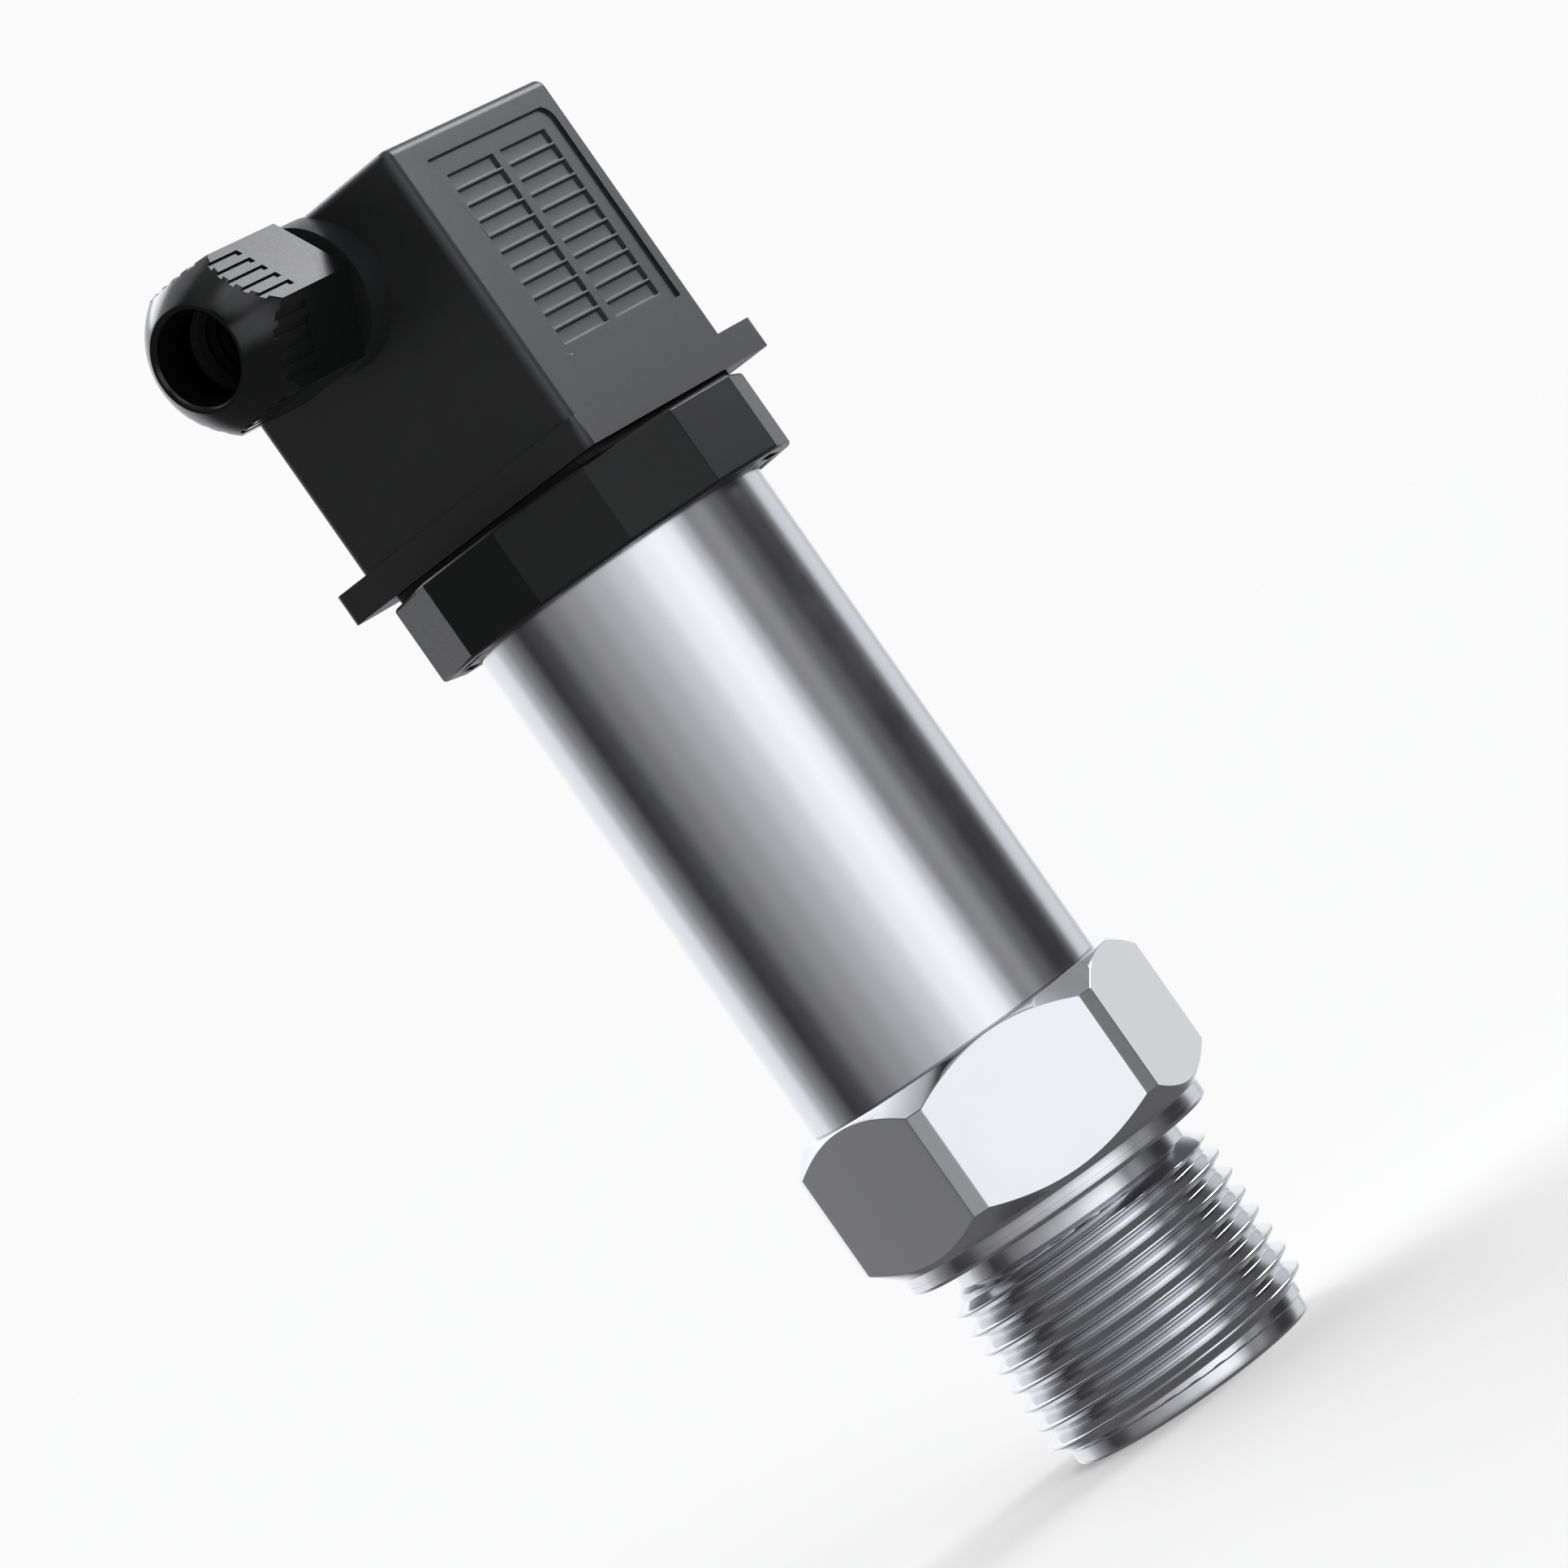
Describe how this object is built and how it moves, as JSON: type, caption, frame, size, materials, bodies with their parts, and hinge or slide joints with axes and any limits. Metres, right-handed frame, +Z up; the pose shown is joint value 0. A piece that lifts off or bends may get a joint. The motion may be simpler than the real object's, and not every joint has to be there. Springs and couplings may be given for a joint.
{
  "type": "pressure transmitter",
  "caption": "Stainless steel pressure transmitter with a male process thread, a spanner hexagon, a tubular body and a square cable plug with a side gland.",
  "frame": {"origin": "centre of the pressure port's mouth, in the end face of the threaded nose", "axes": "+Z up the body from the nose to the plug, -X the way the cable leaves the gland, -Y out of the ribbed panel of the plug"},
  "size_m": [0.0505, 0.036, 0.1264],
  "materials": {
    "turned_steel": "bright turned stainless steel with milled hexagon flats",
    "polished_tube": "polished stainless steel tube",
    "diaphragm_foil": "thin stainless foil with a round ridge",
    "cell_steel": "fine turned stainless steel",
    "gold_pins": "gold plated",
    "circuit_board": "green solder mask",
    "chip_plastic": "black moulded chip packages",
    "inner_plastic": "natural nylon",
    "lead_sleeve": "red silicone sleeve",
    "collar_plastic": "semi-gloss black moulded plastic",
    "base_plastic": "black glass-filled nylon",
    "plug_plastic": "semi-gloss dark grey moulded plastic",
    "gland_plastic": "semi-gloss black moulded plastic",
    "rubber": "black nitrile rubber",
    "gasket_rubber": "black silicone rubber",
    "brass": "turned brass",
    "tinned_brass": "tinned brass",
    "screw_steel": "zinc plated steel"
  },
  "bodies": {
    "transmitter": {"process_connection": "turned_steel", "diaphragm": "diaphragm_foil", "sensor_cell": "cell_steel", "cell_seal": "rubber", "retaining_ring": "cell_steel", "cell_pins": "gold_pins", "amplifier_board": "circuit_board", "board_parts": "chip_plastic", "lower_board_ring": "inner_plastic", "upper_board_ring": "inner_plastic", "inner_leads": "lead_sleeve", "housing_tube": "polished_tube", "collar": "collar_plastic", "connector_base": "base_plastic", "base_seal": "rubber", "contact_blades": "tinned_brass", "earth_blade": "tinned_brass", "threaded_insert": "brass", "flat_gasket": "gasket_rubber"},
    "plug": {"plug_housing": "plug_plastic", "terminal_insert": "base_plastic", "socket_contacts": "brass", "terminal_screws": "screw_steel", "screw_washer": "gasket_rubber", "gland_seal": "rubber", "gland_washer": "inner_plastic"},
    "gland_cap": {"gland_nut": "gland_plastic"},
    "screw": {"fixing_screw": "screw_steel"}
  },
  "joints": [
    {"name": "plug_pull", "type": "slide", "parent": "transmitter", "child": "plug", "axis": [0, 0, 1], "range_m": [0, 0.025]},
    {"name": "gland_nut_turn", "type": "hinge", "parent": "plug", "child": "gland_cap", "pos_m": [-0.025, 0, 0.11945], "axis": [-1, 0, 0], "continuous": true},
    {"name": "fixing_screw_turn", "type": "hinge", "parent": "plug", "child": "screw", "pos_m": [0, 0, 0.124], "axis": [0, 0, 1], "continuous": true}
  ]
}
